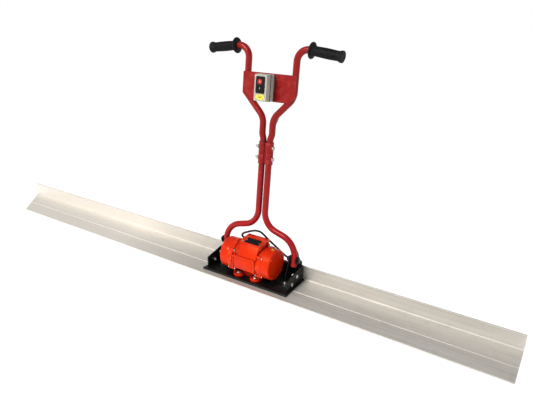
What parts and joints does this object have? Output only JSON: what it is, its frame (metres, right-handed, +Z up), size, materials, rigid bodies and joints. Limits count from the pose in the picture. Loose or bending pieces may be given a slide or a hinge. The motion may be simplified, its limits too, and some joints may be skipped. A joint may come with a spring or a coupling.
{
  "type": "power screed",
  "caption": "Electric vibrating power screed: long aluminium angle blade, motor in a bolted tray, upright tube handle that tilts, grips and push-button switch.",
  "frame": {"origin": "on the blade's sole, under the middle of the motor, in the plane of the flange's front face", "axes": "+X along the blade, towards its shorter reach; -Y towards the blade's front edge; +Y towards the operator; +Z up"},
  "size_m": [2.5, 0.2716, 0.8969],
  "materials": {
    "mill_aluminium": "extruded, brushed along its length",
    "black_steel": "semi-gloss black paint",
    "zinc_steel": "bright zinc",
    "black_hardware": "black oxide",
    "zinc_hardware": "zinc",
    "motor_paint": "gloss orange-red enamel on a casting",
    "handle_paint": "gloss red powder coat",
    "black_rubber": "moulded",
    "lead_jacket": "smooth jacket",
    "black_plastic": "moulded",
    "plate_black": "printed plate, left blank",
    "red_plastic": "moulded",
    "grey_plastic": "moulded, fine grain",
    "label_yellow": "label, left blank",
    "brass": "turned",
    "bearing_steel": "ground",
    "core_steel": "laminated",
    "copper_winding": "varnished copper wire",
    "cast_weight": "cast"
  },
  "bodies": {
    "base": {"blade": "mill_aluminium", "base_tray": "black_steel", "hinge_bracket_left": "black_steel", "hinge_bracket_right": "black_steel", "tray_bolts": "zinc_steel", "flange_bolts": "zinc_steel", "bracket_bolts": "zinc_steel", "motor_bolts": "zinc_steel", "motor_washers": "zinc_steel", "cover_screws": "zinc_steel", "terminal_screws": "zinc_steel", "pivot_bolts": "black_hardware", "motor_housing": "motor_paint", "end_shield_left": "motor_paint", "end_shield_right": "motor_paint", "end_cover_left": "motor_paint", "end_cover_right": "motor_paint", "terminal_box": "motor_paint", "terminal_lid": "motor_paint", "blanking_plug": "motor_paint", "terminal_gasket": "black_rubber", "motor_lead": "lead_jacket", "lead_gland": "black_plastic", "terminal_block": "black_plastic", "nameplate": "plate_black", "cover_plug": "brass", "bearing_left": "bearing_steel", "bearing_right": "bearing_steel", "stator_core": "core_steel", "stator_winding": "copper_winding"},
    "rotor": {"rotor_shaft": "bearing_steel", "rotor_core": "core_steel", "eccentric_weight_left": "cast_weight", "eccentric_weight_right": "cast_weight", "weight_bolts": "zinc_hardware"},
    "handle": {"lower_tube_left": "handle_paint", "lower_tube_right": "handle_paint", "leg_caps": "black_plastic", "pivot_bush_left": "black_rubber", "pivot_bush_right": "black_rubber", "tube_coupler": "handle_paint", "coupler_bolts": "zinc_hardware", "coupler_plug": "black_rubber", "upper_tube_left": "handle_paint", "upper_tube_right": "handle_paint", "grip_left": "black_rubber", "grip_right": "black_rubber", "switch_panel": "handle_paint", "supply_gland": "black_plastic", "switch_base": "grey_plastic", "switch_cover": "grey_plastic", "switch_bezel": "black_plastic", "stop_spring": "bearing_steel", "start_spring": "bearing_steel", "contact_block": "black_plastic", "switch_label": "label_yellow", "switch_screws": "zinc_steel", "handle_lead": "lead_jacket"},
    "stop_button": {"stop_button": "red_plastic"},
    "start_button": {"start_button": "black_plastic"}
  },
  "joints": [
    {"name": "rotor_spin", "type": "hinge", "parent": "base", "child": "rotor", "pos_m": [0, -0.085, 0.084], "axis": [1, 0, 0], "continuous": true},
    {"name": "handle_tilt", "type": "hinge", "parent": "base", "child": "handle", "pos_m": [0, -0.032, 0.098], "axis": [-1, 0, 0], "range_deg": [-2, 35]},
    {"name": "stop_press", "type": "slide", "parent": "handle", "child": "stop_button", "axis": [0, 0.9919, -0.1271], "range_m": [0, 0.0035], "stiffness_N_per_m": 600, "springref_m": -0.004, "deforming": ["stop_spring"]},
    {"name": "start_press", "type": "slide", "parent": "handle", "child": "start_button", "axis": [0, 0.9919, -0.1271], "range_m": [0, 0.0035], "stiffness_N_per_m": 600, "springref_m": -0.004, "deforming": ["start_spring"]}
  ]
}
